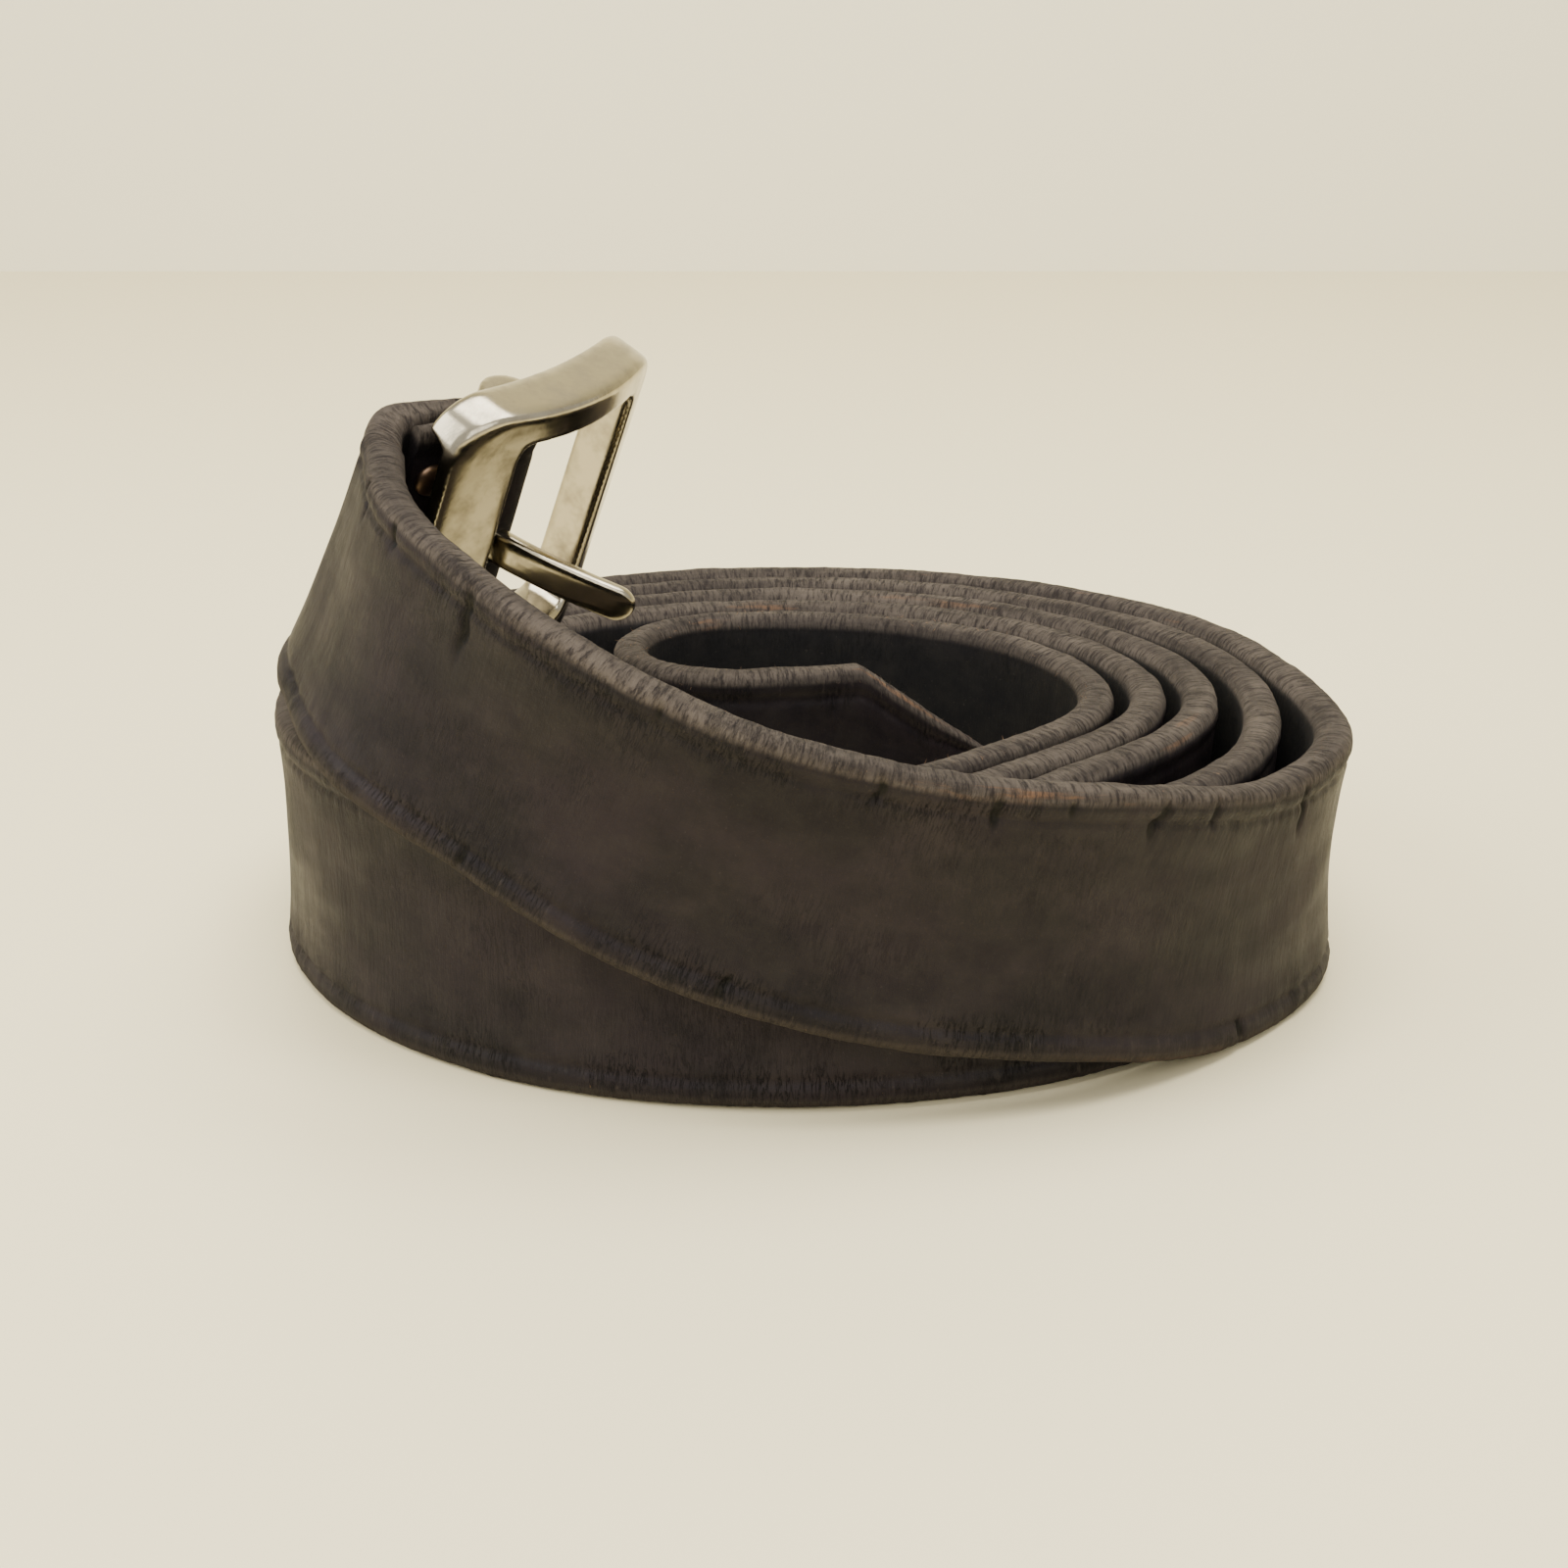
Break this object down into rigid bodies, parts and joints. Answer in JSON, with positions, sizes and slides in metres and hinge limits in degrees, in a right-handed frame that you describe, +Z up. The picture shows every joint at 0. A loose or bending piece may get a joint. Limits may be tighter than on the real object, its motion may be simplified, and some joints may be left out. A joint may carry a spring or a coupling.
{
  "type": "rolled leather belt",
  "caption": "Worn brown leather dress belt rolled up on its edge, pointed tip in the middle, outer end climbing over the roll to a hinged heel-bar buckle with a prong.",
  "frame": {"origin": "on the surface the roll stands on, at the middle of the belt's overall box", "axes": "+Z up, across the strap's width; +X to the right, along the straight chord of the tip; +Y to the back, with the climbing turn and the buckle at the front left"},
  "size_m": [0.1155, 0.1131, 0.0667],
  "materials": {
    "leather": "dark brown, worn, smooth grain with bare edges and a suede flesh side",
    "metal": "aged polished nickel plate",
    "rivet": "aged copper-coloured plate"
  },
  "bodies": {
    "strap": {"strap_tip": "leather", "strap_hole_end": "leather", "strap_roll": "leather", "strap_wrap": "leather", "strap_fold": "leather", "rivet_posts": "rivet", "rivet_caps": "rivet"},
    "buckle": {"buckle_frame": "metal", "buckle_pin": "metal"},
    "prong": {"prong": "metal"}
  },
  "joints": [
    {"name": "buckle_swing", "type": "hinge", "parent": "strap", "child": "buckle", "pos_m": [-0.0348, -0.0074, 0.048], "axis": [0.3101, -0.3338, 0.8902], "range_deg": [0, 60]},
    {"name": "prong_swing", "type": "hinge", "parent": "buckle", "child": "prong", "pos_m": [-0.0348, -0.0074, 0.048], "axis": [0.3101, -0.3338, 0.8902], "range_deg": [-20, 56]}
  ]
}
